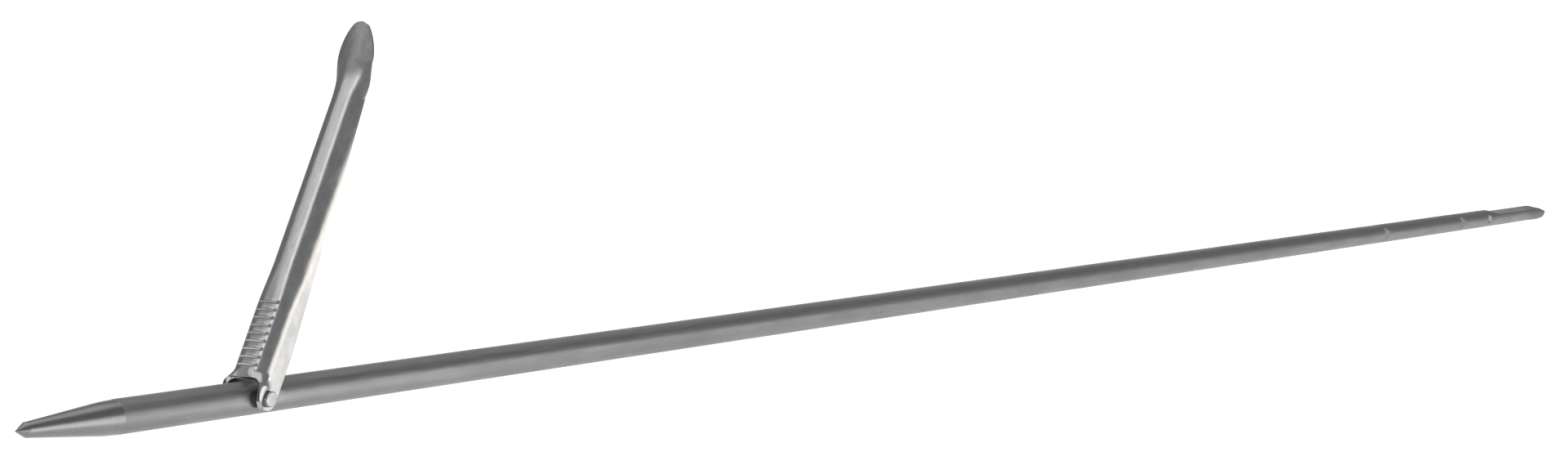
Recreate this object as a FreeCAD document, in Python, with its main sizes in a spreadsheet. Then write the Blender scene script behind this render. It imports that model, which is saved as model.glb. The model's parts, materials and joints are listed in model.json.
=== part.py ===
"""Spear shaft with one hinged barb: a round steel shaft with a turned point, a pressed sheet
barb that swings on a cross pin behind the point, two band notches, a line hole and a sear
tooth at the tail.

Millimetres. The origin is the middle of the line hole, on the shaft's axis. +X runs along the
shaft to its tail, +Z is the side that the barb opens to, and the band notches face -Y.
"""
import FreeCAD
import Part
import Sketcher
import math
import os

Vector = FreeCAD.Vector
Rotation = FreeCAD.Rotation
Placement = FreeCAD.Placement

SIZES = {
    # shaft, with places along it measured back from the point
    "shaft_diameter": 6.5,
    "shaft_length": 800.0,
    "point_length": 2.4,
    "point_diameter": 2.8,
    "taper_end": 21.0,
    "turned_diameter": 6.42,
    "turned_end": 22.8,
    "pivot_place": 58.0,
    # band notches: a square front wall and a ramp back up to the surface
    "notch_place": 626.5,
    "notch_pitch": 77.0,
    "notch_depth": 1.25,
    "notch_ramp": 5.0,
    # tail: line hole, flat, relief in front of the sear tooth, and the nose behind it
    "hole_place": 735.0,
    "hole_diameter": 2.2,
    "tail_roll": 10.0,
    "flat_place": 738.0,
    "flat_runout": 13.0,
    "flat_depth": 1.4,
    "relief_place": 745.0,
    "relief_depth": 0.6,
    "tooth_place": 790.0,
    "tooth_crest": 6.5,
    "heel_rise": 1.3,
    "nose_length": 6.0,
    "nose_drop": 1.2,
    # cross pin
    "pin_diameter": 3.0,
    "pin_standout": 1.2,
    "pin_bevel": 0.2,
    "pin_clearance": 0.05,
    # barb: a channel of sheet rolled to the shaft's curve, with ears, a web and a leaf tip
    "sheet": 0.9,
    "channel_half": 4.25,
    "channel_crown": 4.25,
    "ear_bend": 1.4,
    "web_bend": 4.2,
    "ear_end": 3.0,
    "flare_end": 8.0,
    "ear_radius": 2.35,
    "web_start": 2.0,
    "web_shoulder": 3.2,
    "deep_end": 10.0,
    "neck_place": 62.0,
    "neck_edge": 1.3,
    "leaf_root_place": 66.0,
    "leaf_root_half": 4.4,
    "leaf_root_crown": 4.25,
    "leaf_root_edge": 2.0,
    "leaf_broad_place": 69.5,
    "leaf_broad_half": 4.5,
    "leaf_broad_crown": 4.3,
    "leaf_broad_edge": 3.2,
    "leaf_flat_place": 73.5,
    "leaf_flat_half": 4.5,
    "leaf_flat_crown": 4.5,
    "leaf_flat_edge": 4.0,
    "leaf_tip_place": 77.2,
    "leaf_tip_half": 4.5,
    "leaf_tip_crown": 4.9,
    "leaf_tip_edge": 4.6,
    "leaf_side_radius": 12.0,
    "leaf_nose_place": 75.4,
    "leaf_nose_half": 2.6,
    "leaf_nose_radius": 2.78,
    "barb_open": 62.3,
}
SPARE = 1.5          # how far a cutting outline runs past the metal

doc = FreeCAD.newDocument("spear_shaft")
sheet = doc.addObject("Spreadsheet::Sheet", "sizes")
for row, (alias, value) in enumerate(SIZES.items(), start=1):
    sheet.set(f"A{row}", alias)
    sheet.set(f"B{row}", str(value))
    sheet.setAlias(f"B{row}", alias)
doc.recompute()

SHAFT_RADIUS = "sizes.shaft_diameter / 2"
PIN_RADIUS = "sizes.pin_diameter / 2"


# ---------------------------------------------------------------- helpers

def new_body(label):
    """A body whose label is the name of its sub-part."""
    body = doc.addObject("PartDesign::Body", label)
    body.Label = label
    return body


def new_sketch(body, name, plane, offset="0", roll="0"):
    """A sketch on one of the body's own origin planes, moved out along the plane's normal by
    offset and turned about the sketch's own first axis by roll degrees."""
    sketch = body.newObject("Sketcher::SketchObject", name)
    face = next(item for item in body.Origin.OriginFeatures if item.Role == plane)
    sketch.AttachmentSupport = [(face, "")]
    sketch.MapMode = "FlatFace"
    sketch.AttachmentOffset = Placement(Vector(0, 0, 0), Rotation(Vector(1, 0, 0), 0))
    sketch.setExpression("AttachmentOffset.Base.z", offset)
    sketch.setExpression("AttachmentOffset.Rotation.Angle", roll)
    return sketch


def arc_middle(start, end, radius):
    """The middle point of the shorter arc from start to end. A positive radius bulges to the
    left of the way from start to end, a negative one to the right."""
    chord = end - start
    half = chord.Length / 2
    rise = abs(radius) - math.sqrt(max(radius * radius - half * half, 0.0))
    left = Vector(-chord.y, chord.x, 0).normalize()
    return (start + end) * 0.5 + left * math.copysign(rise, radius)


def draw_outline(sketch, steps):
    """Draws a closed outline. Each step is (x, y) for a straight run to that point or
    (x, y, radius) for an arc to it, all of them expressions on the sheet. Every corner and
    every radius becomes a constraint bound to its expression."""
    corners = [Vector(sketch.evalExpression(step[0]), sketch.evalExpression(step[1]), 0)
               for step in steps]
    first = sketch.GeometryCount
    for number, step in enumerate(steps):
        start, end = corners[number - 1], corners[number]
        if len(step) == 2:
            sketch.addGeometry(Part.LineSegment(start, end), False)
        else:
            middle = arc_middle(start, end, sketch.evalExpression(step[2]))
            sketch.addGeometry(Part.Arc(start, middle, end), False)
    for number, step in enumerate(steps):
        edge = first + number
        following = first + (number + 1) % len(steps)
        end_point = edge_end(sketch, edge, corners[number])
        next_start = edge_end(sketch, following, corners[number])
        sketch.addConstraint(Sketcher.Constraint("Coincident", edge, end_point,
                                                 following, next_start))
        bind(sketch, ("DistanceX", -1, 1, edge, end_point), corners[number].x, step[0])
        bind(sketch, ("DistanceY", -1, 1, edge, end_point), corners[number].y, step[1])
        if len(step) == 3:
            bind(sketch, ("Radius", edge), abs(sketch.evalExpression(step[2])),
                 f"abs({step[2]})")


def edge_end(sketch, edge, corner):
    """Which end of a sketch edge, 1 or 2, lies at the corner."""
    distances = [(sketch.getPoint(edge, end) - corner).Length for end in (1, 2)]
    return 1 + distances.index(min(distances))


def bind(sketch, constraint, value, expression):
    """Adds a dimension and ties it to an expression on the sheet."""
    number = sketch.addConstraint(Sketcher.Constraint(*constraint, value))
    sketch.setExpression(f"Constraints[{number}]", expression)


def draw_circle(sketch, x, y, radius):
    """A circle whose centre and radius are expressions on the sheet."""
    centre = Vector(sketch.evalExpression(x), sketch.evalExpression(y), 0)
    edge = sketch.addGeometry(Part.Circle(centre, Vector(0, 0, 1),
                                          sketch.evalExpression(radius)), False)
    bind(sketch, ("DistanceX", -1, 1, edge, 3), centre.x, x)
    bind(sketch, ("DistanceY", -1, 1, edge, 3), centre.y, y)
    bind(sketch, ("Radius", edge), sketch.evalExpression(radius), radius)


def pad(body, sketch, name, length):
    feature = body.newObject("PartDesign::Pad", name)
    feature.Profile = sketch
    feature.setExpression("Length", length)
    doc.recompute()
    return feature


def add_loft(body, name, sections):
    """Adds a skin through the sections in turn, and checks that it added metal."""
    doc.recompute()
    before = body.Shape.Volume
    feature = body.newObject("PartDesign::AdditiveLoft", name)
    feature.Profile = sections[0]
    feature.Sections = sections[1:]
    doc.recompute()
    if not body.Shape.Volume > before + 1e-3:
        raise RuntimeError(f"{name} adds nothing")


def cut_through(body, sketch, name):
    """Cuts the sketch right through the body, both ways, and checks that metal came off."""
    before = body.Shape.Volume
    feature = body.newObject("PartDesign::Pocket", name)
    feature.Profile = sketch
    feature.Type = "ThroughAll"
    feature.SideType = "Symmetric"
    doc.recompute()
    if not body.Shape.Volume < before - 1e-3:
        raise RuntimeError(f"{name} cuts nothing")
    return feature


def place(body, x, angle="0"):
    """Puts a body at x on the shaft's axis, turned up from the axis by angle degrees."""
    body.Placement = Placement(Vector(0, 0, 0), Rotation(Vector(0, -1, 0), 0))
    body.setExpression("Placement.Base.x", x)
    body.setExpression("Placement.Rotation.Angle", angle)


# ---------------------------------------------------------------- shaft

def make_shaft():
    """The shaft in its own frame has its point at x = 0."""
    body = new_body("shaft")
    half = new_sketch(body, "shaft_half_profile", "XZ_Plane")
    turned = "sizes.turned_diameter / 2"
    draw_outline(half, [
        ("0", "0"),
        ("sizes.point_length", "sizes.point_diameter / 2"),
        ("sizes.taper_end", turned),
        ("sizes.turned_end", turned),
        ("sizes.turned_end", SHAFT_RADIUS),
        ("sizes.shaft_length", SHAFT_RADIUS),
        ("sizes.shaft_length", "0"),
    ])
    turning = body.newObject("PartDesign::Revolution", "shaft_turning")
    turning.Profile = half
    turning.ReferenceAxis = (half, ["H_Axis"])
    turning.Angle = 360
    doc.recompute()

    pivot = new_sketch(body, "pivot_hole_circle", "XZ_Plane")
    draw_circle(pivot, "sizes.pivot_place", "0", PIN_RADIUS)
    cut_through(body, pivot, "pivot_hole")

    cut_tail(body)
    cut_band_notches(body)
    place(body, "-sizes.hole_place")
    return body


def cut_tail(body):
    """The line hole, the flat and the sear tooth, all turned about the shaft by tail_roll."""
    def tail_sketch(name):
        return new_sketch(body, name, "XZ_Plane", roll="sizes.tail_roll")

    hole = tail_sketch("line_hole_circle")
    draw_circle(hole, "sizes.hole_place", "0", "sizes.hole_diameter / 2")
    cut_through(body, hole, "line_hole")

    past_end = f"sizes.shaft_length + {SPARE}"
    above = f"{SHAFT_RADIUS} + {SPARE}"
    floor = f"{SHAFT_RADIUS} - sizes.flat_depth"
    sweep = "-(sizes.flat_runout ^ 2 + sizes.flat_depth ^ 2) / (2 * sizes.flat_depth)"
    flat = tail_sketch("tail_flat_profile")
    draw_outline(flat, [
        ("sizes.flat_place", above),
        ("sizes.flat_place", SHAFT_RADIUS),
        ("sizes.flat_place + sizes.flat_runout", floor, sweep),
        ("sizes.shaft_length - sizes.nose_length", floor),
        (past_end, f"{floor} - sizes.nose_drop * (1 + {SPARE} / sizes.nose_length)"),
        (past_end, above),
    ])
    cut_through(body, flat, "tail_flat")

    below = f"-({SHAFT_RADIUS}) - {SPARE}"
    relief = tail_sketch("sear_relief_profile")
    draw_outline(relief, [
        ("sizes.relief_place", below),
        ("sizes.relief_place", f"-({SHAFT_RADIUS})"),
        ("sizes.tooth_place", f"-({SHAFT_RADIUS}) + sizes.relief_depth"),
        ("sizes.tooth_place", below),
    ])
    cut_through(body, relief, "sear_relief")

    heel_start = "sizes.tooth_place + sizes.tooth_crest"
    heel_slope = f"sizes.heel_rise / (sizes.shaft_length - {heel_start})"
    heel = tail_sketch("heel_profile")
    draw_outline(heel, [
        (f"{heel_start} - {SPARE}", f"-({SHAFT_RADIUS}) - {SPARE} * {heel_slope}"),
        (past_end, f"-({SHAFT_RADIUS}) + sizes.heel_rise + {SPARE} * {heel_slope}"),
        (past_end, below),
        (f"{heel_start} - {SPARE}", below),
    ])
    cut_through(body, heel, "heel")


def cut_band_notches(body):
    """Two notches on the -Y side. A band's loop bears on the square front wall."""
    notch = new_sketch(body, "band_notch_profile", "XY_Plane")
    front = "sizes.notch_place"
    surface = f"-({SHAFT_RADIUS})"
    ramp_slope = "sizes.notch_depth / sizes.notch_ramp"
    draw_outline(notch, [
        (front, f"{surface} - {SPARE}"),
        (front, f"{surface} + sizes.notch_depth"),
        (f"{front} + sizes.notch_ramp + {SPARE}", f"{surface} - {SPARE} * {ramp_slope}"),
        (f"{front} + sizes.notch_ramp + {SPARE}", f"{surface} - {SPARE}"),
    ])
    first = cut_through(body, notch, "band_notch")
    pair = body.newObject("PartDesign::LinearPattern", "band_notch_pair")
    pair.Originals = [first]
    pair.Direction = (notch, ["H_Axis"])
    pair.Occurrences = 2
    pair.setExpression("Length", "sizes.notch_pitch")
    body.Tip = pair
    doc.recompute()


# ---------------------------------------------------------------- cross pin

def make_pin():
    """A plain pin along Y with a small bevel at each end, pressed into the shaft."""
    body = new_body("pivot_pin")
    half = new_sketch(body, "pin_half_profile", "XY_Plane")
    reach = "(sizes.channel_half + sizes.pin_standout)"
    draw_outline(half, [
        ("0", f"-{reach}"),
        (f"{PIN_RADIUS} - sizes.pin_bevel", f"-{reach}"),
        (PIN_RADIUS, f"-{reach} + sizes.pin_bevel"),
        (PIN_RADIUS, f"{reach} - sizes.pin_bevel"),
        (f"{PIN_RADIUS} - sizes.pin_bevel", reach),
        ("0", reach),
    ])
    turning = body.newObject("PartDesign::Revolution", "pin_turning")
    turning.Profile = half
    turning.ReferenceAxis = (half, ["V_Axis"])
    turning.Angle = 360
    doc.recompute()
    place(body, "sizes.pivot_place - sizes.hole_place")
    return body


# ---------------------------------------------------------------- barb

def make_barb():
    """The barb in its own frame lies closed along +X with its pivot at the origin and its web
    on the +Z side."""
    body = new_body("barb")
    draw_channel(body)
    trim_channel(body)
    add_leaf(body)
    round_leaf(body)
    eye = new_sketch(body, "eye_circle", "XZ_Plane")
    draw_circle(eye, "0", "0", f"{PIN_RADIUS} + sizes.pin_clearance")
    cut_through(body, eye, "eye")
    place(body, "sizes.pivot_place - sizes.hole_place", "sizes.barb_open")
    return body


def channel_section(body, name, bend, station):
    """A U of sheet: two straight flanges down to the ears' lowest level, and a web with a
    rounded bend along each side."""
    sheet_in = "sizes.sheet"
    outer = "sizes.channel_half"
    inner = f"({outer} - {sheet_in})"
    crown = "sizes.channel_crown"
    flat = f"({outer} - {bend})"
    bend_level = f"({crown} - {bend})"
    low = "-sizes.ear_radius"
    inner_bend = f"-({bend} - {sheet_in})"
    section = new_sketch(body, name, "YZ_Plane", offset=station)
    draw_outline(section, [
        (f"-{outer}", low),
        (f"-{outer}", bend_level),
        (f"-{flat}", crown, bend),
        (flat, crown),
        (outer, bend_level, bend),
        (outer, low),
        (inner, low),
        (inner, bend_level),
        (flat, f"{crown} - {sheet_in}", inner_bend),
        (f"-{flat}", f"{crown} - {sheet_in}"),
        (f"-{inner}", bend_level, inner_bend),
        (f"-{inner}", low),
    ])
    return section


def draw_channel(body):
    """Square shouldered at the ears, whose flat sides swing past the shaft, and rolled to the
    shaft's curve beyond them, so that the closed barb hugs the shaft."""
    front = channel_section(body, "ear_section", "sizes.ear_bend", "-sizes.ear_radius")
    pad(body, front, "ear_channel", "sizes.ear_end + sizes.ear_radius")
    square = channel_section(body, "flare_start", "sizes.ear_bend", "sizes.ear_end")
    rolled = channel_section(body, "flare_finish", "sizes.web_bend", "sizes.flare_end")
    add_loft(body, "flare", [square, rolled])
    rest = channel_section(body, "blade_section", "sizes.web_bend", "sizes.flare_end")
    pad(body, rest, "blade_channel", "sizes.neck_place - sizes.flare_end")


def trim_channel(body):
    """Cuts the side view: round ears, the web's end that stops the barb on the shaft's top,
    and flanges that grow shallow towards the neck."""
    front = f"-sizes.ear_radius - {SPARE}"
    below = f"-sizes.ear_radius - {SPARE}"
    above = f"sizes.channel_crown + {SPARE}"
    ears = new_sketch(body, "ear_profile", "XZ_Plane")
    draw_outline(ears, [
        ("0", "-sizes.ear_radius"),
        ("-sizes.ear_radius", "0", "sizes.ear_radius"),
        ("0", "sizes.ear_radius", "sizes.ear_radius"),
        ("sizes.web_start", "sizes.web_shoulder"),
        ("sizes.web_start", above),
        (front, above),
        (front, below),
        ("0", below),
    ])
    cut_through(body, ears, "ear_rounding")

    edge = new_sketch(body, "free_edge_profile", "XZ_Plane")
    slope = "(sizes.neck_edge + sizes.ear_radius) / (sizes.neck_place - sizes.deep_end)"
    draw_outline(edge, [
        ("sizes.deep_end", "-sizes.ear_radius"),
        (f"sizes.neck_place + {SPARE}", f"sizes.neck_edge + {SPARE} * {slope}"),
        (f"sizes.neck_place + {SPARE}", below),
        ("sizes.deep_end", below),
    ])
    cut_through(body, edge, "flange_taper")


def leaf_section(body, name, half, crown, edge, station):
    """A bowed strip of sheet: half its width, the height of its crown and of its edges."""
    rise = f"({crown} - {edge})"
    radius = f"(({half} ^ 2 + {rise} ^ 2) / (2 * {rise}))"
    share = f"(({radius} - sizes.sheet) / {radius})"
    centre = f"({crown} - {radius})"
    inner_edge = f"{centre} + ({edge} - {centre}) * {share}"
    section = new_sketch(body, name, "YZ_Plane", offset=station)
    draw_outline(section, [
        (f"-({half})", edge),
        ("0", crown, radius),
        (half, edge, radius),
        (f"({half}) * {share}", inner_edge),
        ("0", f"{crown} - sizes.sheet", f"-({radius} - sizes.sheet)"),
        (f"-({half}) * {share}", inner_edge, f"-({radius} - sizes.sheet)"),
    ])
    return section


def add_leaf(body):
    """The channel unrolls beyond the neck into a leaf that lifts away from the shaft."""
    neck_half = "sqrt(sizes.channel_half ^ 2 - sizes.neck_edge ^ 2)"
    sections = [leaf_section(body, "leaf_at_neck", neck_half, "sizes.channel_half",
                             "sizes.neck_edge", "sizes.neck_place")]
    for part in ("root", "broad", "flat", "tip"):
        sections.append(leaf_section(body, f"leaf_at_{part}", f"sizes.leaf_{part}_half",
                                     f"sizes.leaf_{part}_crown", f"sizes.leaf_{part}_edge",
                                     f"sizes.leaf_{part}_place"))
    add_loft(body, "leaf", sections)


def round_leaf(body):
    """Trims the leaf's end to a rounded point, seen from above."""
    tip = "sizes.leaf_tip_place"
    broad = "sizes.leaf_broad_place"
    outside = f"sizes.leaf_broad_half + {SPARE}"
    outline = new_sketch(body, "leaf_outline", "XY_Plane")
    draw_outline(outline, [
        (broad, outside),
        (broad, "sizes.leaf_broad_half"),
        ("sizes.leaf_nose_place", "sizes.leaf_nose_half", "sizes.leaf_side_radius"),
        (tip, "0", "sizes.leaf_nose_radius"),
        ("sizes.leaf_nose_place", "-sizes.leaf_nose_half", "sizes.leaf_nose_radius"),
        (broad, "-sizes.leaf_broad_half", "sizes.leaf_side_radius"),
        (broad, f"-({outside})"),
        (f"{tip} + {SPARE}", f"-({outside})"),
        (f"{tip} + {SPARE}", outside),
    ])
    cut_through(body, outline, "leaf_rounding")


# ---------------------------------------------------------------- build, check, write

bodies = [make_shaft(), make_pin(), make_barb()]
doc.recompute()

for item in doc.Objects:
    if "Invalid" in item.State or "Error" in item.State:
        raise RuntimeError(f"{item.Name}: {item.State}")
for body in bodies:
    if body.Shape.isNull() or not body.Shape.isValid():
        raise RuntimeError(f"{body.Label} has no valid shape")

os.makedirs("parts", exist_ok=True)
for body in bodies:
    body.Shape.exportStep(f"parts/{body.Label}.step")
    box = body.Shape.BoundBox
    print(f"{body.Label}: {len(body.Shape.Solids)} solid, {body.Shape.Volume:.1f} mm3, "
          f"x {box.XMin:.2f} to {box.XMax:.2f}, y {box.YMin:.2f} to {box.YMax:.2f}, "
          f"z {box.ZMin:.2f} to {box.ZMax:.2f}")
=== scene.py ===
"""Spear shaft with one hinged barb: fine meshes, steel finishes, studio and camera, built around
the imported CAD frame. The mesh code works in millimetres and hands metres to Blender.

The frame's origin is the line hole, +X runs to the tail and +Z is the side the barb opens to.
"""
import json
import math

import bpy
import numpy as np
from mathutils import Matrix, Vector


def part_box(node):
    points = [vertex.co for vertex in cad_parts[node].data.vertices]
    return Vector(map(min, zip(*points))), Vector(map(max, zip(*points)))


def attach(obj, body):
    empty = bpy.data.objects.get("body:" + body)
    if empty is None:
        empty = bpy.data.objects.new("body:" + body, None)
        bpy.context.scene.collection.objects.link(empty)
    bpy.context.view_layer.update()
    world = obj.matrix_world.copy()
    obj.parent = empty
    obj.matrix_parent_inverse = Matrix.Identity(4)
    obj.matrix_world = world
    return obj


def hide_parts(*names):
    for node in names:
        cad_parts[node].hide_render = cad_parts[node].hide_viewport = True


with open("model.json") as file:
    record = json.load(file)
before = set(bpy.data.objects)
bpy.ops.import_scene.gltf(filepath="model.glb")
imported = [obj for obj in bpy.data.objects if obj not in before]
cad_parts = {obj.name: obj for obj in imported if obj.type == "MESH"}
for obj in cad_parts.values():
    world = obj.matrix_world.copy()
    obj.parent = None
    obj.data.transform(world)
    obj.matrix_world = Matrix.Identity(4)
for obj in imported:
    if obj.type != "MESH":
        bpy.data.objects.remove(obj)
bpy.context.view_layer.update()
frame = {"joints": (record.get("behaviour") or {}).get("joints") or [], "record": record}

MM = 0.001
SHAFT_LOW, SHAFT_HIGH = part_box("shaft")
PIN_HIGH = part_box("pivot_pin")[1]
MOUNTS = {mount["name"]: mount for mount in frame["record"]["mounts"]}
JOINT = next(joint for joint in frame["joints"] if joint["name"] == "barb_pivot")
PIVOT = Vector(JOINT["pos_m"])
OPEN_ANGLE = math.radians(-JOINT["range_deg"][0])

# shaft, with places along it measured back from the point
SHAFT_LENGTH = (SHAFT_HIGH.x - SHAFT_LOW.x) / MM
SHAFT_R = MOUNTS["shaft_body"]["dims"]["r_mm"]
HOLE_R = MOUNTS["line_hole"]["dims"]["r_mm"]
HOLE_PLACE = -SHAFT_LOW.x / MM
POINT_LENGTH = 2.4
POINT_R = 1.4
TAPER_END = 21.0
TURNED_R = 3.21
TURNED_END = 22.8
NOTCH_PLACES = [mount["pos_m"][0] / MM + HOLE_PLACE for name, mount in MOUNTS.items()
                if name.startswith("band_notch")]
NOTCH_DEPTH = 1.25
NOTCH_RAMP = 5.0
TAIL_ROLL = math.atan2(-MOUNTS["tail_flat"]["axis"][1], MOUNTS["tail_flat"]["axis"][2])
FLAT_END = 751.0
FLAT_RUNOUT = 13.0
FLAT_DEPTH = 1.4
RELIEF_PLACE = 745.0
RELIEF_DEPTH = 0.6
TOOTH_PLACE = MOUNTS["sear_tooth"]["pos_m"][0] / MM + HOLE_PLACE
HEEL_START = TOOTH_PLACE + 6.5
HEEL_RISE = 1.3
NOSE_LENGTH = 6.0
NOSE_DROP = 1.2

# cross pin
PIN_R = 1.5
PIN_REACH = PIN_HIGH.y / MM
PIN_CLEARANCE = 0.05

# barb, closed: along from the pivot, across from its middle, up to its crown
SHEET = 0.9
HALF_WIDTH = 4.25
CROWN = 4.25
EAR_R = 2.35
WEB_START = 2.45
CORNER_START = 0.3
CORNER_END = 1.95
MOUTH_BEND = 2.3
BASE_BEND = 3.4
ROLLED_BEND = 4.24
MOUTH_BELL = 0.2
MOUTH_LIFT = 0.4
BELL_FULL = 1.8
BELL_END = 5.0
EDGE_LIP = 0.14
NECK = 62.0
NECK_EDGE = 1.3
DEEP_END = 10.0
BARB_END = 77.2


# ---------------------------------------------------------------- shaping helpers

def smooth(value, low, high):
    """0 below low, 1 above high, and an S-curve between."""
    share = np.clip((value - low) / (high - low), 0.0, 1.0)
    return share * share * (3.0 - 2.0 * share)


def soft_min(first, second, softness):
    """The smaller of two surfaces, with the edge where they meet rounded off."""
    nearness = np.clip(1.0 - np.abs(first - second) / softness, 0.0, 1.0)
    return np.minimum(first, second) - nearness * nearness * softness / 4.0


def spread(*stretches):
    """Sorted places along a length: each stretch is (start, end, spacing)."""
    places = [np.linspace(start, end, max(2, int(round((end - start) / spacing)) + 1))
              for start, end, spacing in stretches]
    merged = np.unique(np.round(np.concatenate(places), 4))
    keep = np.concatenate([[True], np.diff(merged) > 0.02])
    return merged[keep]


def new_mesh_object(name, points, faces, material_of_face=None):
    """A smooth-shaded object from points in millimetres."""
    mesh = bpy.data.meshes.new(name)
    mesh.from_pydata((np.asarray(points) * MM).tolist(), [], faces)
    mesh.validate()
    if material_of_face is not None:
        mesh.polygons.foreach_set("material_index", material_of_face)
    mesh.shade_smooth()
    mesh.update()
    piece = bpy.data.objects.new(name, mesh)
    bpy.context.scene.collection.objects.link(piece)
    return piece


def ring_faces(rings, around):
    """Quads between rings of points, each ring closed, as an array of corner numbers."""
    ring = np.arange(rings - 1)[:, None] * around
    spot = np.arange(around)[None, :]
    following = (spot + 1) % around
    corners = np.stack([ring + spot, ring + following, ring + around + following,
                        ring + around + spot], axis=-1)
    return corners.reshape(-1, 4)


def lathe(name, profile, around):
    """Turns (along, radius) points about the Y axis. The first and last points close the ends."""
    angle = np.linspace(0, 2 * math.pi, around, endpoint=False)
    inner = np.asarray(profile[1:-1])
    along = np.repeat(inner[:, 0], around)
    radius = np.repeat(inner[:, 1], around)
    turn = np.tile(angle, len(inner))
    points = np.stack([radius * np.sin(turn), along, radius * np.cos(turn)], axis=1)
    ends = np.array([[0.0, profile[0][0], 0.0], [0.0, profile[-1][0], 0.0]])
    points = np.vstack([points, ends])
    faces = ring_faces(len(inner), around).tolist()
    first, last = len(points) - 2, len(points) - 1
    final = (len(inner) - 1) * around
    for spot in range(around):
        following = (spot + 1) % around
        faces.append([first, following, spot])
        faces.append([last, final + spot, final + following])
    return new_mesh_object(name, points, faces)


def hole_cutter(name, reach, radius, flare):
    """A drill along Y whose two ends, past reach, open out by flare. Where they lie in a
    surface, the hole's rims come out rounded."""
    run = 2.2 * flare
    steps = np.linspace(0.0, 1.0, 7)
    near = [(-reach - run * step, radius + flare * (1 - math.sqrt(max(1 - step * step, 0))))
            for step in steps]
    profile = [(-reach - run, 0.0)] + near[::-1]
    profile += [(-along, wide) for along, wide in near]
    profile.append((reach + run, 0.0))
    return lathe(name, profile, 48)


def subtract(piece, cutters):
    """Cuts each cutter out of the piece and deletes the cutter."""
    for cutter in cutters:
        cut = piece.modifiers.new("cut", "BOOLEAN")
        cut.operation = "DIFFERENCE"
        cut.solver = "EXACT"
        cut.object = cutter
    bpy.context.view_layer.update()
    evaluated = piece.evaluated_get(bpy.context.evaluated_depsgraph_get())
    result = bpy.data.meshes.new_from_object(evaluated)
    result.name = piece.name
    piece.modifiers.clear()
    piece.data = result
    for cutter in cutters:
        bpy.data.objects.remove(cutter)


# ---------------------------------------------------------------- shaft

def turned_radius(place):
    """The lathe's outline: a short steep point, a long taper, a skimmed band and the bar."""
    point = POINT_R * place / POINT_LENGTH
    slope = (TURNED_R - POINT_R) / (TAPER_END - POINT_LENGTH)
    taper = POINT_R + slope * (place - POINT_LENGTH)
    skim = 1.0 - smooth(place, TURNED_END - 0.08, TURNED_END + 0.08)
    bar = SHAFT_R - (SHAFT_R - TURNED_R) * skim
    return soft_min(soft_min(point, taper, 0.06), bar, 0.25)


def cut_back(radius, distance, angle, facing, softness=0.16):
    """Cuts a round outline back to a flat at a distance from the axis, facing one way."""
    towards = np.cos(angle - facing)
    reach = distance / np.maximum(towards, 0.05)
    return np.where(towards > 0.05, soft_min(radius, reach, softness), radius)


def notch_distance(place, front):
    """A square front wall, then a ramp back up to the surface."""
    ramp = SHAFT_R - NOTCH_DEPTH * (1.0 - (place - front) / NOTCH_RAMP)
    return np.where(place < front - 0.1, SHAFT_R + 1.0,
                    ramp + (SHAFT_R + 1.0 - ramp) * (1 - smooth(place, front - 0.1, front)))


def flat_distance(place):
    """A cutter's arc run-out into the tail's flat, and the nose sloping down at the end."""
    arc = (FLAT_RUNOUT ** 2 + FLAT_DEPTH ** 2) / (2 * FLAT_DEPTH)
    short = np.clip(FLAT_END - place, 0.0, 1.6 * FLAT_RUNOUT)
    runout = arc - np.sqrt(arc * arc - short * short)
    nose = np.clip(place - (SHAFT_LENGTH - NOSE_LENGTH), 0.0, None) * NOSE_DROP / NOSE_LENGTH
    return SHAFT_R - FLAT_DEPTH + runout - nose


def tooth_distance(place):
    """The relief in front of the sear tooth, the tooth's crest, and the heel behind it."""
    relief = RELIEF_DEPTH * (place - RELIEF_PLACE) / (TOOTH_PLACE - RELIEF_PLACE)
    step = smooth(place, TOOTH_PLACE - 0.1, TOOTH_PLACE + 0.1)
    front = SHAFT_R - relief * (1 - step) + step
    slope = HEEL_RISE / (SHAFT_LENGTH - HEEL_START)
    heel = SHAFT_R - slope * (place - HEEL_START)
    return np.minimum(front, np.maximum(heel, 0.2))


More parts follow.
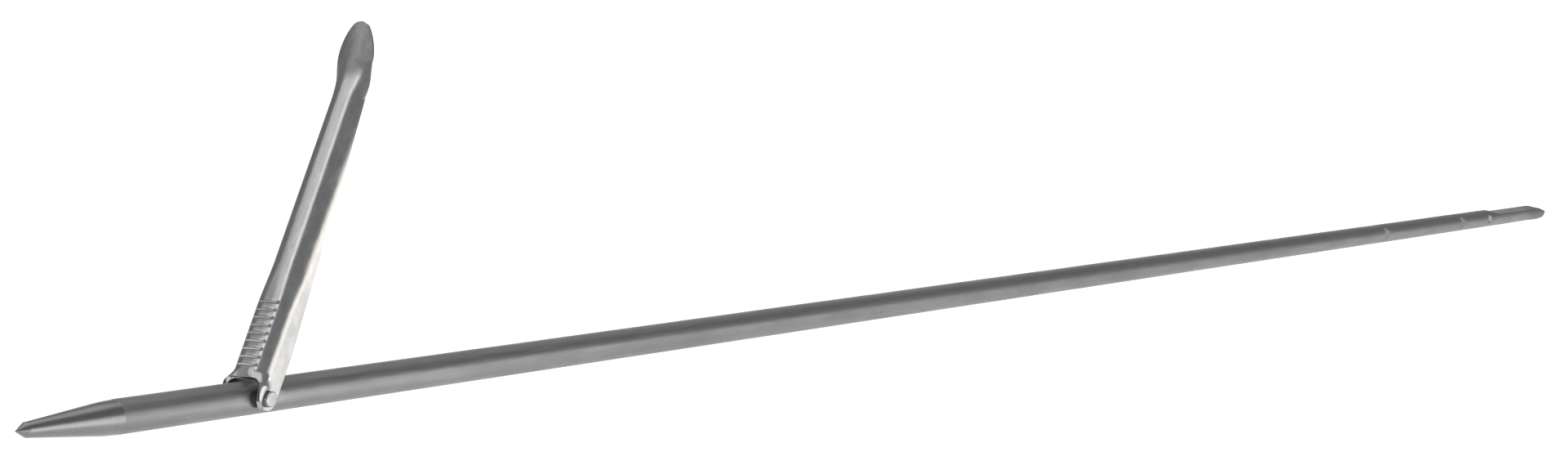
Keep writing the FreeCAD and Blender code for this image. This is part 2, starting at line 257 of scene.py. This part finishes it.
def make_shaft():
    around = 144
    angle = np.linspace(0, 2 * math.pi, around, endpoint=False)[None, :]
    stretches = [(0.06, 2.0, 0.15), (2.0, 2.9, 0.06), (2.9, 19.0, 0.5), (19.0, 24.0, 0.2),
                 (24.0, SHAFT_LENGTH - 0.3, 5.0), (FLAT_END - 20.0, FLAT_END, 0.35),
                 (FLAT_END, TOOTH_PLACE - 1.0, 1.2), (TOOTH_PLACE - 1.0, SHAFT_LENGTH - 0.3, 0.12),
                 (SHAFT_LENGTH - 0.3, SHAFT_LENGTH, 0.06)]
    for front in NOTCH_PLACES:
        stretches += [(front - 0.5, front + 0.4, 0.05), (front + 0.4, front + 6.0, 0.2)]
    place = spread(*stretches)[:, None]
    radius = turned_radius(place) + 0.0 * angle
    for front in NOTCH_PLACES:
        radius = cut_back(radius, notch_distance(place, front), angle, math.pi)
    upward = math.pi / 2 + TAIL_ROLL
    radius = cut_back(radius, flat_distance(place), angle, upward)
    radius = cut_back(radius, tooth_distance(place), angle, upward - math.pi)
    rounding = 0.3
    past = np.clip(place - (SHAFT_LENGTH - rounding), 0.0, rounding)
    radius = radius - (rounding - np.sqrt(rounding ** 2 - past ** 2))

    along = np.broadcast_to(place - HOLE_PLACE, radius.shape)
    points = np.stack([along, radius * np.cos(angle), radius * np.sin(angle)], axis=-1)
    end = points[-1]
    middle = end.mean(axis=0)
    cap = np.stack([middle + (end - middle) * share for share in (0.75, 0.5, 0.25)])
    points = np.concatenate([points, cap]).reshape(-1, 3)
    rings = len(place) + len(cap)
    points = np.vstack([points, [[-HOLE_PLACE, 0, 0]], [middle]])
    faces = ring_faces(rings, around)[:, ::-1].tolist()
    tip, centre = len(points) - 2, len(points) - 1
    final = (rings - 1) * around
    for spot in range(around):
        following = (spot + 1) % around
        faces.append([tip, spot, following])
        faces.append([centre, final + following, final + spot])
    shaft = new_mesh_object("spear_shaft", points, faces)

    drill = hole_cutter("line_hole_drill", SHAFT_R - 0.35, HOLE_R, 0.4)
    drill.rotation_euler = (TAIL_ROLL, 0, 0)
    seat = hole_cutter("pin_seat_drill", SHAFT_R, PIN_R + 0.01, 0.1)
    seat.location = PIVOT
    subtract(shaft, [drill, seat])
    return shaft


# ---------------------------------------------------------------- cross pin

def make_pin():
    """A plain pin whose faces are very slightly crowned, with rounded edges."""
    edge, crown = 0.24, 0.05
    face = [(PIN_REACH - crown * (radius / (PIN_R - edge)) ** 2, radius)
            for radius in np.linspace(0.0, PIN_R - edge, 6)]
    turn = np.linspace(0, math.pi / 2, 6)[1:]
    corner = [(PIN_REACH - crown - edge * (1 - math.cos(step)), PIN_R - edge + edge * math.sin(step))
              for step in turn]
    half = face + corner + [(along, PIN_R) for along in (4.0, 2.0)]
    profile = [(-along, radius) for along, radius in half] + half[::-1]
    return lathe("cross_pin", profile, 72)


# ---------------------------------------------------------------- barb

def bend_radius(along):
    """Tight at the mouth, pressed flatter near the base, and rolled to the shaft beyond."""
    base = MOUTH_BEND + (BASE_BEND - MOUTH_BEND) * smooth(along, 2.2, 4.4)
    return base + (ROLLED_BEND - BASE_BEND) * smooth(along, 17.0, 27.0)


def free_edge(along):
    """How far up the side walls' free edge is: level along the ears, then rising to the neck."""
    slope = (NECK_EDGE + EAR_R) / (NECK - DEEP_END)
    return -EAR_R + slope * np.maximum(along - DEEP_END, 0.0)


def channel_surface(along, run):
    """The channel's outer face at a distance from its crown, measured round the sheet:
    the place across and the place up. The web's two corners are belled at the mouth."""
    bend = bend_radius(along)
    flat = HALF_WIDTH - bend
    turn = np.clip((run - flat) / bend, 0.0, math.pi / 2)
    down = np.maximum(run - flat - bend * math.pi / 2, 0.0)
    across = np.minimum(run, flat) + bend * np.sin(turn)
    up = CROWN - bend * (1 - np.cos(turn)) - down
    flare = np.clip((BELL_END - along) / (BELL_END - BELL_FULL), 0.0, 1.0) ** 3
    lift = MOUTH_LIFT * flare * smooth(across, 0.6, 2.6) * smooth(up, 1.0, 3.2)
    return across * (1 + MOUTH_BELL * flare * smooth(up, 0.0, 2.4)), up + lift


def channel_reach(along):
    """How far the free edge is from the crown, measured round the sheet."""
    bend = bend_radius(along)
    above = free_edge(along) - (CROWN - bend)
    turned = np.arccos(np.clip(above / bend, 0.0, 1.0))
    return HALF_WIDTH - bend + bend * turned + np.maximum(-above, 0.0)


LEAF_PLACES = (NECK, 65.5, 69.5, 73.5, BARB_END)
LEAF_HALVES = (math.sqrt(CROWN ** 2 - NECK_EDGE ** 2), 4.4, 4.5, 4.5, 4.5)
LEAF_CROWNS = (CROWN, CROWN, 4.6, 5.0, 5.35)
LEAF_EDGES = (NECK_EDGE, 1.9, 3.4, 4.25, 4.95)
LEAF_SIDE_R = 12.0
LEAF_NOSE_R = 2.78
LEAF_BROADEST = 68.9
LEAF_WIDEST_HALF = 4.514
UNTRIMMED = 9.0
NOSE_BLEND = 0.9


def through(places, values, place):
    """A smooth curve through a few stations."""
    places, values = np.asarray(places), np.asarray(values)
    slopes = np.gradient(values, places)
    index = np.clip(np.searchsorted(places, place) - 1, 0, len(places) - 2)
    gap = places[index + 1] - places[index]
    share = np.clip((place - places[index]) / gap, 0.0, 1.0)
    return (values[index] * (1 + 2 * share) * (1 - share) ** 2
            + values[index + 1] * share ** 2 * (3 - 2 * share)
            + gap * slopes[index] * share * (1 - share) ** 2
            + gap * slopes[index + 1] * share ** 2 * (share - 1))


def leaf_outline(along):
    """Half the leaf's width: a long side curve that runs into a rounded nose."""
    side = np.sqrt(LEAF_SIDE_R ** 2 - (along - LEAF_BROADEST) ** 2) - (LEAF_SIDE_R - LEAF_WIDEST_HALF)
    nose_centre = BARB_END - LEAF_NOSE_R
    nose = np.sqrt(np.maximum(LEAF_NOSE_R ** 2 - (along - nose_centre) ** 2, 0.0))
    side = np.where(along < LEAF_BROADEST, UNTRIMMED, side)
    return np.where(along < nose_centre + NOSE_BLEND, side, np.minimum(side, nose))


def leaf_bow(along):
    """The leaf's cross-section is an arc: half its width, its height and its radius."""
    half = through(LEAF_PLACES, LEAF_HALVES, along)
    crown = through(LEAF_PLACES, LEAF_CROWNS, along)
    rise = crown - through(LEAF_PLACES, LEAF_EDGES, along)
    return half, crown, (half ** 2 + rise ** 2) / (2 * rise)


def leaf_surface(along, run):
    """The leaf's outer face, untrimmed, at a distance from its crown."""
    crown, radius = leaf_bow(along)[1:]
    turn = run / radius
    return radius * np.sin(turn), crown - radius * (1 - np.cos(turn))


def leaf_reach(along):
    """How far the leaf's trimmed edge is from its crown."""
    half, _, radius = leaf_bow(along)
    half = np.minimum(half, leaf_outline(along))
    return radius * np.arcsin(np.clip(half / radius, 0.0, 1.0))


def sheet_surface(along, run):
    """The whole barb's outer face, on the side where across is positive."""
    on_leaf = along > NECK
    leaf_along = np.maximum(along, NECK)
    channel = channel_surface(along, run)
    leaf = leaf_surface(leaf_along, run)
    return np.stack([along + 0.0 * run, np.where(on_leaf, leaf[0], channel[0]),
                     np.where(on_leaf, leaf[1], channel[1])], axis=-1)


def sheet_normal(along, run):
    """The unit normal of that face, away from the shaft."""
    step = 0.002
    forward = sheet_surface(along + step, run) - sheet_surface(along - step, run)
    round_sheet = sheet_surface(along, run + step) - sheet_surface(along, run - step)
    normal = np.cross(forward, round_sheet)
    return normal / np.linalg.norm(normal, axis=-1, keepdims=True)


def mouth_edge(run):
    """Where the sheet starts: the web's end, a sweep down each corner, and the round ears."""
    bend = bend_radius(0.0)
    flat = HALF_WIDTH - bend
    turn = np.clip((run - flat) / bend, 0.0, math.pi / 2)
    drop = bend * (1 - np.cos(turn)) + np.maximum(run - flat - bend * math.pi / 2, 0.0)
    above = CROWN - drop
    shoulder = np.cos(math.pi / 2 * np.clip(above / CROWN, 0.0, 1.0))
    round_end = np.sqrt(np.clip(1 - (np.minimum(above, 0.0) / EAR_R) ** 2, 0.0, 1.0))
    ear = -EAR_R * shoulder * round_end
    return WEB_START + (ear - WEB_START) * smooth(drop, CORNER_START, CORNER_END)


RIB_FIRST = 5.2
RIB_PITCH = 1.6
RIB_COUNT = 9
RIB_WIDTH = 0.62
RIB_HALF_SPAN = 2.5
RIB_HEIGHT = 0.2
RIBS_END = 20.6
NOSE_ROWS = 74.2


def grip_ribs(along, across):
    """How far plain pressed ribs across the web stand above it."""
    height = 0.0 * along
    for number in range(RIB_COUNT):
        offset = np.abs(along - RIB_FIRST - RIB_PITCH * number)
        height = np.maximum(height, 1 - smooth(offset, 0.15 * RIB_WIDTH, 0.55 * RIB_WIDTH))
    return RIB_HEIGHT * height * (1 - smooth(np.abs(across), RIB_HALF_SPAN - 0.5, RIB_HALF_SPAN))


def barb_grid():
    """Places along the barb and round its sheet, from the mouth to the tip and from the crown
    to the free edge. They crowd towards the edge, where the ear is round."""
    columns = 60
    share = 1 - np.linspace(1.0, 0.0, columns + 1)[None, :] ** 1.7
    start = mouth_edge(share * channel_reach(0.0))
    near = start + (DEEP_END - start) * np.linspace(0.0, 1.0, 62)[:-1, None]
    tip_run = 1 - np.linspace(1.0, 0.0, 26) ** 1.6
    last_row = BARB_END - 0.005
    far = np.concatenate([np.arange(DEEP_END, RIBS_END, 0.17), np.arange(RIBS_END + 0.2, NECK, 0.8),
                          np.arange(NECK, NOSE_ROWS - 0.2, 0.3),
                          NOSE_ROWS + (last_row - NOSE_ROWS) * tip_run])
    along = np.concatenate([near, far[:, None] + 0.0 * share])
    reach = np.where(along > NECK, leaf_reach(np.maximum(along, NECK)), channel_reach(along))
    return along, share * reach


def both_sides(half_grid):
    """Mirrors a grid of vectors across the barb's middle: the other side, then this one."""
    mirrored = half_grid[:, :0:-1] * (1, -1, 1)
    return np.concatenate([mirrored, half_grid], axis=1)


def boundary(grid):
    """The grid's outer loop, in order, without repeats."""
    return np.concatenate([grid[0], grid[1:, -1], grid[-1, -2::-1], grid[-2:0:-1, 0]])


def make_barb():
    """The sheet with both faces, a rounded cut edge and the two eyes, built closed along X
    with its pivot at the origin, then turned open."""
    along, run = barb_grid()
    face = both_sides(sheet_surface(along, run))
    normal = both_sides(sheet_normal(along, run))
    rows, columns = face.shape[:2]
    inner = face - normal * SHEET
    outer = face + normal * grip_ribs(face[..., 0], face[..., 1])[..., None]

    edge_steps = 8
    squareness = 0.6
    middle = boundary((outer + inner) / 2)
    half = boundary((outer - inner) / 2)
    onward = np.roll(middle, -1, axis=0) - np.roll(middle, 1, axis=0)
    away = np.cross(onward, boundary(normal))
    away /= np.linalg.norm(away, axis=-1, keepdims=True)
    rims = []
    for step in range(1, edge_steps):
        turn = math.pi * step / edge_steps
        across_edge = math.copysign(abs(math.cos(turn)) ** squareness, math.cos(turn))
        rims.append(middle + half * across_edge + away * EDGE_LIP * math.sin(turn) ** squareness)
    points = np.concatenate([outer.reshape(-1, 3), inner.reshape(-1, 3), np.concatenate(rims)])

    numbers = np.arange(rows * columns).reshape(rows, columns)
    quads = np.stack([numbers[:-1, :-1], numbers[1:, :-1], numbers[1:, 1:], numbers[:-1, 1:]],
                     axis=-1).reshape(-1, 4)
    inner_quads = quads[:, ::-1] + rows * columns
    loop = boundary(numbers[..., None])[:, 0]
    around = len(loop)
    levels = [loop] + [2 * rows * columns + step * around + np.arange(around)
                       for step in range(edge_steps - 1)] + [loop + rows * columns]
    rim_quads = []
    for first, second in zip(levels, levels[1:]):
        rim_quads.append(np.stack([first, np.roll(first, -1), np.roll(second, -1), second],
                                  axis=-1))
    rim_quads = np.concatenate(rim_quads)
    faces = np.concatenate([quads, inner_quads, rim_quads])
    material_of_face = np.concatenate([np.zeros(2 * len(quads), int),
                                       np.ones(len(rim_quads), int)])
    barb = new_mesh_object("pressed_barb", points, faces.tolist(), material_of_face)
    subtract(barb, [hole_cutter("eye_drill", PIN_REACH, PIN_R + PIN_CLEARANCE, 0.1)])
    barb.matrix_world = Matrix.Translation(PIVOT) @ Matrix.Rotation(-OPEN_ANGLE, 4, "Y")
    return barb


# ---------------------------------------------------------------- materials

class Nodes:
    """A short way to write a material: each call adds one node and links what it is given."""

    def __init__(self, name):
        self.material = bpy.data.materials.new(name)
        self.material.use_nodes = True
        self.tree = self.material.node_tree
        self.tree.nodes.clear()

    def feed(self, socket, value):
        if isinstance(value, bpy.types.NodeSocket):
            self.tree.links.new(value, socket)
        else:
            socket.default_value = value

    def add(self, kind, settings, inputs):
        node = self.tree.nodes.new(kind)
        for key, value in settings.items():
            setattr(node, key, value)
        for key, value in inputs.items():
            self.feed(node.inputs[key], value)
        return node

    def math(self, operation, first, second=0.0):
        return self.add("ShaderNodeMath", {"operation": operation},
                        {0: first, 1: second}).outputs[0]

    def ramp(self, value, low, high, to_low=0.0, to_high=1.0):
        """low to high becomes to_low to to_high along an S-curve, and is held outside."""
        return self.add("ShaderNodeMapRange", {"interpolation_type": "SMOOTHSTEP"},
                        {"Value": value, "From Min": low, "From Max": high,
                         "To Min": to_low, "To Max": to_high}).outputs[0]

    def millimetres(self):
        """Places in the piece's own frame, in millimetres."""
        place = self.add("ShaderNodeTexCoord", {}, {}).outputs["Object"]
        return self.scaled(place, (1000.0, 1000.0, 1000.0))

    def scaled(self, vector, factors):
        return self.add("ShaderNodeVectorMath", {"operation": "MULTIPLY"},
                        {0: vector, 1: factors}).outputs[0]

    def noise(self, vector, scale, detail=3.0, rough=0.55):
        return self.add("ShaderNodeTexNoise", {}, {"Vector": vector, "Scale": scale,
                                                   "Detail": detail, "Roughness": rough}).outputs[0]

    def mix(self, share, first, second):
        node = self.add("ShaderNodeMix", {"data_type": "RGBA"}, {0: share, 6: first, 7: second})
        return node.outputs[2]

    def finish(self, colour, roughness, height, depth, glancing=1.0):
        """A metal with its relief in metres, and how bright it turns at a glancing angle."""
        bump = self.add("ShaderNodeBump", {}, {"Height": height, "Distance": depth,
                                               "Strength": 1.0})
        metal = self.add("ShaderNodeBsdfPrincipled", {},
                         {"Base Color": colour, "Roughness": roughness, "Metallic": 1.0,
                          "Specular Tint": grey(glancing), "Normal": bump.outputs[0]})
        output = self.add("ShaderNodeOutputMaterial", {}, {})
        self.tree.links.new(metal.outputs[0], output.inputs[0])
        return self.material


def grey(level, warmth=0.0):
    return (level * (1 + warmth), level, level * (1 - warmth), 1.0)


def shaft_steel():
    """Satin drawn bar with lengthwise marks, a bright turned point and a dull, filed tail."""
    m = Nodes("satin_shaft_steel")
    place = m.millimetres()
    along = m.add("ShaderNodeSeparateXYZ", {}, {0: place}).outputs[0]
    drawn = m.noise(m.scaled(place, (0.05, 1.0, 1.0)), 3.2, 5.0, 0.7)
    streak = m.noise(m.scaled(place, (0.012, 1.0, 1.0)), 0.9, 3.0, 0.5)
    cloud = m.noise(m.scaled(place, (0.25, 1.0, 1.0)), 0.22, 4.0, 0.6)
    grain = m.noise(place, 9.0, 4.0, 0.7)
    turned = m.ramp(along, TURNED_END - HOLE_PLACE - 0.25, TURNED_END - HOLE_PLACE + 0.15, 1.0, 0.0)
    lathe_marks = m.noise(m.scaled(place, (1.0, 0.02, 0.02)), 7.0, 2.0, 0.6)
    tail = m.ramp(along, FLAT_END - HOLE_PLACE + 25.0, TOOTH_PLACE - HOLE_PLACE)
    scale = m.math("MULTIPLY", tail, m.ramp(grain, 0.42, 0.62))

    colour = m.mix(m.ramp(drawn, 0.3, 0.7), grey(0.225, -0.005), grey(0.285, 0.0))
    colour = m.mix(m.ramp(cloud, 0.35, 0.7, 0.0, 0.5), colour, grey(0.21, -0.01))
    colour = m.mix(m.ramp(streak, 0.5, 0.8, 0.0, 0.35), colour, grey(0.32, 0.01))
    colour = m.mix(m.math("MULTIPLY", scale, 0.7), colour, grey(0.12, 0.02))
    bright = m.mix(m.ramp(lathe_marks, 0.35, 0.65), grey(0.22, 0.0), grey(0.25, 0.01))
    colour = m.mix(turned, colour, bright)
    # painted highlight: the line hole's rim is coloured near white so that it shows as a bright glint
    rim_place = m.add("ShaderNodeVectorMath", {"operation": "LENGTH"},
                      {0: m.scaled(place, (1.0, 0.0, 1.0))}).outputs["Value"]
    painted_glint_rim = m.ramp(rim_place, HOLE_R + 0.25, HOLE_R + 0.5, 1.0, 0.0)
    colour = m.mix(painted_glint_rim, colour, grey(0.85))

    rough = m.math("ADD", m.ramp(drawn, 0.3, 0.7, 0.41, 0.52), m.ramp(cloud, 0.3, 0.7, -0.03, 0.05))
    rough = m.math("ADD", rough, m.math("MULTIPLY", tail, 0.1))
    polished = m.ramp(lathe_marks, 0.3, 0.7, 0.28, 0.34)
    rough = m.math("ADD", m.math("MULTIPLY", rough, m.math("SUBTRACT", 1.0, turned)),
                   m.math("MULTIPLY", polished, turned))

    plain = m.math("ADD", m.math("MULTIPLY", drawn, 0.7), m.math("MULTIPLY", grain, 0.3))
    height = m.math("ADD", m.math("MULTIPLY", plain, m.math("SUBTRACT", 1.0, turned)),
                    m.math("MULTIPLY", m.math("MULTIPLY", lathe_marks, 0.2), turned))
    return m.finish(colour, rough, height, 0.000012)


def barb_steel():
    """Pressed sheet: satin, a little warm, mottled by the press, with fine lengthwise marks."""
    m = Nodes("pressed_barb_steel")
    place = m.millimetres()
    marks = m.noise(m.scaled(place, (0.08, 1.0, 1.0)), 4.0, 4.0, 0.65)
    mottle = m.noise(m.scaled(place, (0.5, 1.0, 1.0)), 0.6, 5.0, 0.65)
    grain = m.noise(place, 6.0, 4.0, 0.7)
    colour = m.mix(m.ramp(mottle, 0.35, 0.7), grey(0.42, 0.0), grey(0.49, 0.01))
    colour = m.mix(m.ramp(grain, 0.6, 0.75, 0.0, 0.35), colour, grey(0.55, 0.01))
    rough = m.math("ADD", m.ramp(marks, 0.3, 0.7, 0.15, 0.22), m.ramp(mottle, 0.3, 0.7, 0.0, 0.05))
    height = m.math("ADD", m.math("MULTIPLY", marks, 0.4), m.math("MULTIPLY", grain, 0.6))
    return m.finish(colour, rough, height, 0.000012, 0.55)


def edge_steel():
    """The sheet's cut edge, tumbled bright."""
    m = Nodes("bright_cut_edge")
    place = m.millimetres()
    grain = m.noise(place, 5.0, 4.0, 0.65)
    colour = m.mix(m.ramp(grain, 0.3, 0.7), grey(0.5, 0.01), grey(0.64, 0.01))
    return m.finish(colour, m.ramp(grain, 0.3, 0.7, 0.2, 0.32), grain, 0.00001)


def pin_steel():
    """Turned pin stock, brighter than the sheet around it."""
    m = Nodes("bright_pin_steel")
    place = m.millimetres()
    grain = m.noise(place, 5.0, 4.0, 0.65)
    rings = m.noise(m.scaled(place, (0.15, 1.0, 0.15)), 8.0, 3.0, 0.6)
    colour = m.mix(m.ramp(grain, 0.3, 0.7), grey(0.32, 0.0), grey(0.4, 0.01))
    rough = m.math("ADD", m.ramp(rings, 0.3, 0.7, 0.2, 0.3), m.ramp(grain, 0.4, 0.7, 0.0, 0.06))
    return m.finish(colour, rough, m.math("ADD", grain, rings), 0.000008, 0.55)


# ---------------------------------------------------------------- studio

def pale_surface():
    """White acrylic with a painted glow in its own material: bright in the middle, most on the right
    of the point, and fading out to both sides."""
    m = Nodes("pale_floor")
    place = m.add("ShaderNodeTexCoord", {}, {}).outputs["Object"]
    ahead, across = m.add("ShaderNodeSeparateXYZ", {}, {0: place}).outputs[:2]
    # painted light: the floor's own glow, strongest in the middle and fading out to both sides
    table = m.math("MULTIPLY", m.ramp(ahead, 0.2, 2.4, 0.5, 0.85),
                   m.ramp(m.math("ABSOLUTE", across), 0.9, 1.6, 1.0, 0.1))
    # painted light: a brighter glowing patch in the floor beside the point, for the point to reflect
    beside = m.math("MULTIPLY", m.ramp(across, -0.9, -0.5), m.ramp(across, -0.12, -0.04, 1.0, 0.0))
    bright = m.math("MULTIPLY", beside, m.ramp(ahead, -0.05, 0.14, 1.5, 0.0))
    glow = m.math("ADD", table, bright)
    shader = m.add("ShaderNodeBsdfPrincipled", {},
                   {"Base Color": grey(0.9), "Roughness": 0.9, "Specular IOR Level": 0.1,
                    "Emission Color": grey(1.0), "Emission Strength": glow})
    output = m.add("ShaderNodeOutputMaterial", {}, {})
    m.tree.links.new(shader.outputs[0], output.inputs[0])
    return m.material


FLOOR_DROP = 0.04
BACKDROP_START = 2.8
BACKDROP_BEND = 0.7
BACKDROP_TOP = 1.3


def make_floor(heading):
    """A sheet a little below the object that sweeps up behind it, away from the camera."""
    near, half = -3.0, 4.5
    side_on = [(near, 0.0), (BACKDROP_START, 0.0)]
    for step in np.linspace(0, math.pi / 2, 17)[1:]:
        side_on.append((BACKDROP_START + BACKDROP_BEND * math.sin(step),
                        BACKDROP_BEND * (1 - math.cos(step))))
    side_on.append((BACKDROP_START + BACKDROP_BEND, BACKDROP_TOP))
    points, faces = [], []
    for along, up in side_on:
        points += [(along, -half, up), (along, half, up)]
    for number in range(len(side_on) - 1):
        first = 2 * number
        faces.append((first, first + 2, first + 3, first + 1))
    mesh = bpy.data.meshes.new("floor")
    mesh.from_pydata(points, [], faces)
    mesh.shade_smooth()
    mesh.materials.append(pale_surface())
    floor = bpy.data.objects.new("floor", mesh)
    bpy.context.scene.collection.objects.link(floor)
    floor.rotation_euler = (0, 0, heading)
    floor.location = (PIVOT.x, 0, SHAFT_LOW.z - FLOOR_DROP)
    return floor


def from_barb(azimuth, elevation, distance):
    """A place seen from the barb's pivot in one direction."""
    turn, lift = math.radians(azimuth), math.radians(elevation)
    return PIVOT + distance * Vector((math.cos(turn) * math.cos(lift),
                                      math.sin(turn) * math.cos(lift), math.sin(lift)))


def softbox(name, place, target, width, height, radiance, colour=(1, 1, 1)):
    """A rectangular lamp at a place, facing a target."""
    lamp = bpy.data.lights.new(name, "AREA")
    lamp.shape = "RECTANGLE"
    lamp.size, lamp.size_y = width, height
    lamp.energy = radiance * math.pi * width * height
    lamp.color = colour
    box = bpy.data.objects.new(name, lamp)
    box.location = place
    box.rotation_euler = (target - place).to_track_quat("-Z", "Y").to_euler()
    bpy.context.scene.collection.objects.link(box)
    return box


def make_lights(heading):
    """An overhead panel, a low warm box on the right, a wide box with a bright strip behind on
    the left, and a low box that the notches' ramps reflect."""
    ahead = math.degrees(heading)
    softbox("overhead", from_barb(ahead, 80, 2.6), PIVOT, 3.2, 3.2, 0.9)
    softbox("right_box", from_barb(-62, 4, 0.5), PIVOT, 0.6, 0.1, 1.95, (1.0, 0.95, 0.88))
    softbox("left_box", from_barb(156, 48.5, 1.8), PIVOT, 2.4, 0.6, 0.85)
    softbox("left_strip", from_barb(-163, 43, 1.7), PIVOT, 0.34, 0.66, 0.9)
    tail = PIVOT + Vector((0.62, 0, 0))
    softbox("tail_box", tail + Vector((0.34, -0.62, 0.02)), tail, 0.3, 0.14, 2.2)
    world = bpy.data.worlds.new("studio")
    world.use_nodes = True
    world.node_tree.nodes["Background"].inputs[0].default_value = (0.3, 0.307, 0.314, 1.0)
    bpy.context.scene.world = world
    bpy.context.scene.view_settings.view_transform = "Standard"


CAMERA_FROM_PIVOT = Vector((-0.39895, -0.37791, 0.0699))
CAMERA_HEADING = math.radians(32.96)
CAMERA_TILT = math.radians(-3.883)
CAMERA_ROLL = math.radians(0.533)
LENS = 66.32


def make_camera():
    forward = Vector((math.cos(CAMERA_HEADING) * math.cos(CAMERA_TILT),
                      math.sin(CAMERA_HEADING) * math.cos(CAMERA_TILT), math.sin(CAMERA_TILT)))
    level = forward.cross(Vector((0, 0, 1))).normalized()
    upright = level.cross(forward)
    right = level * math.cos(CAMERA_ROLL) + upright * math.sin(CAMERA_ROLL)
    up = right.cross(forward)
    camera = bpy.data.objects.new("camera", bpy.data.cameras.new("camera"))
    camera.data.lens = LENS
    camera.data.sensor_width = 36.0
    camera.data.clip_start = 0.01
    rotation = Matrix((right, up, -forward)).transposed().to_4x4()
    camera.matrix_world = Matrix.Translation(PIVOT + CAMERA_FROM_PIVOT) @ rotation
    bpy.context.scene.collection.objects.link(camera)
    bpy.context.scene.camera = camera


# ---------------------------------------------------------------- assembly

make_camera()
make_lights(CAMERA_HEADING)
make_floor(CAMERA_HEADING)

shaft = make_shaft()
shaft.data.materials.clear()
shaft.data.materials.append(shaft_steel())
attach(shaft, "shaft")
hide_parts("shaft")

pin = make_pin()
pin.location = PIVOT
pin.data.materials.append(pin_steel())
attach(pin, "shaft")
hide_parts("pivot_pin")

barb = make_barb()
barb.data.materials.clear()
barb.data.materials.append(barb_steel())
barb.data.materials.append(edge_steel())
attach(barb, "barb")
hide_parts("barb")
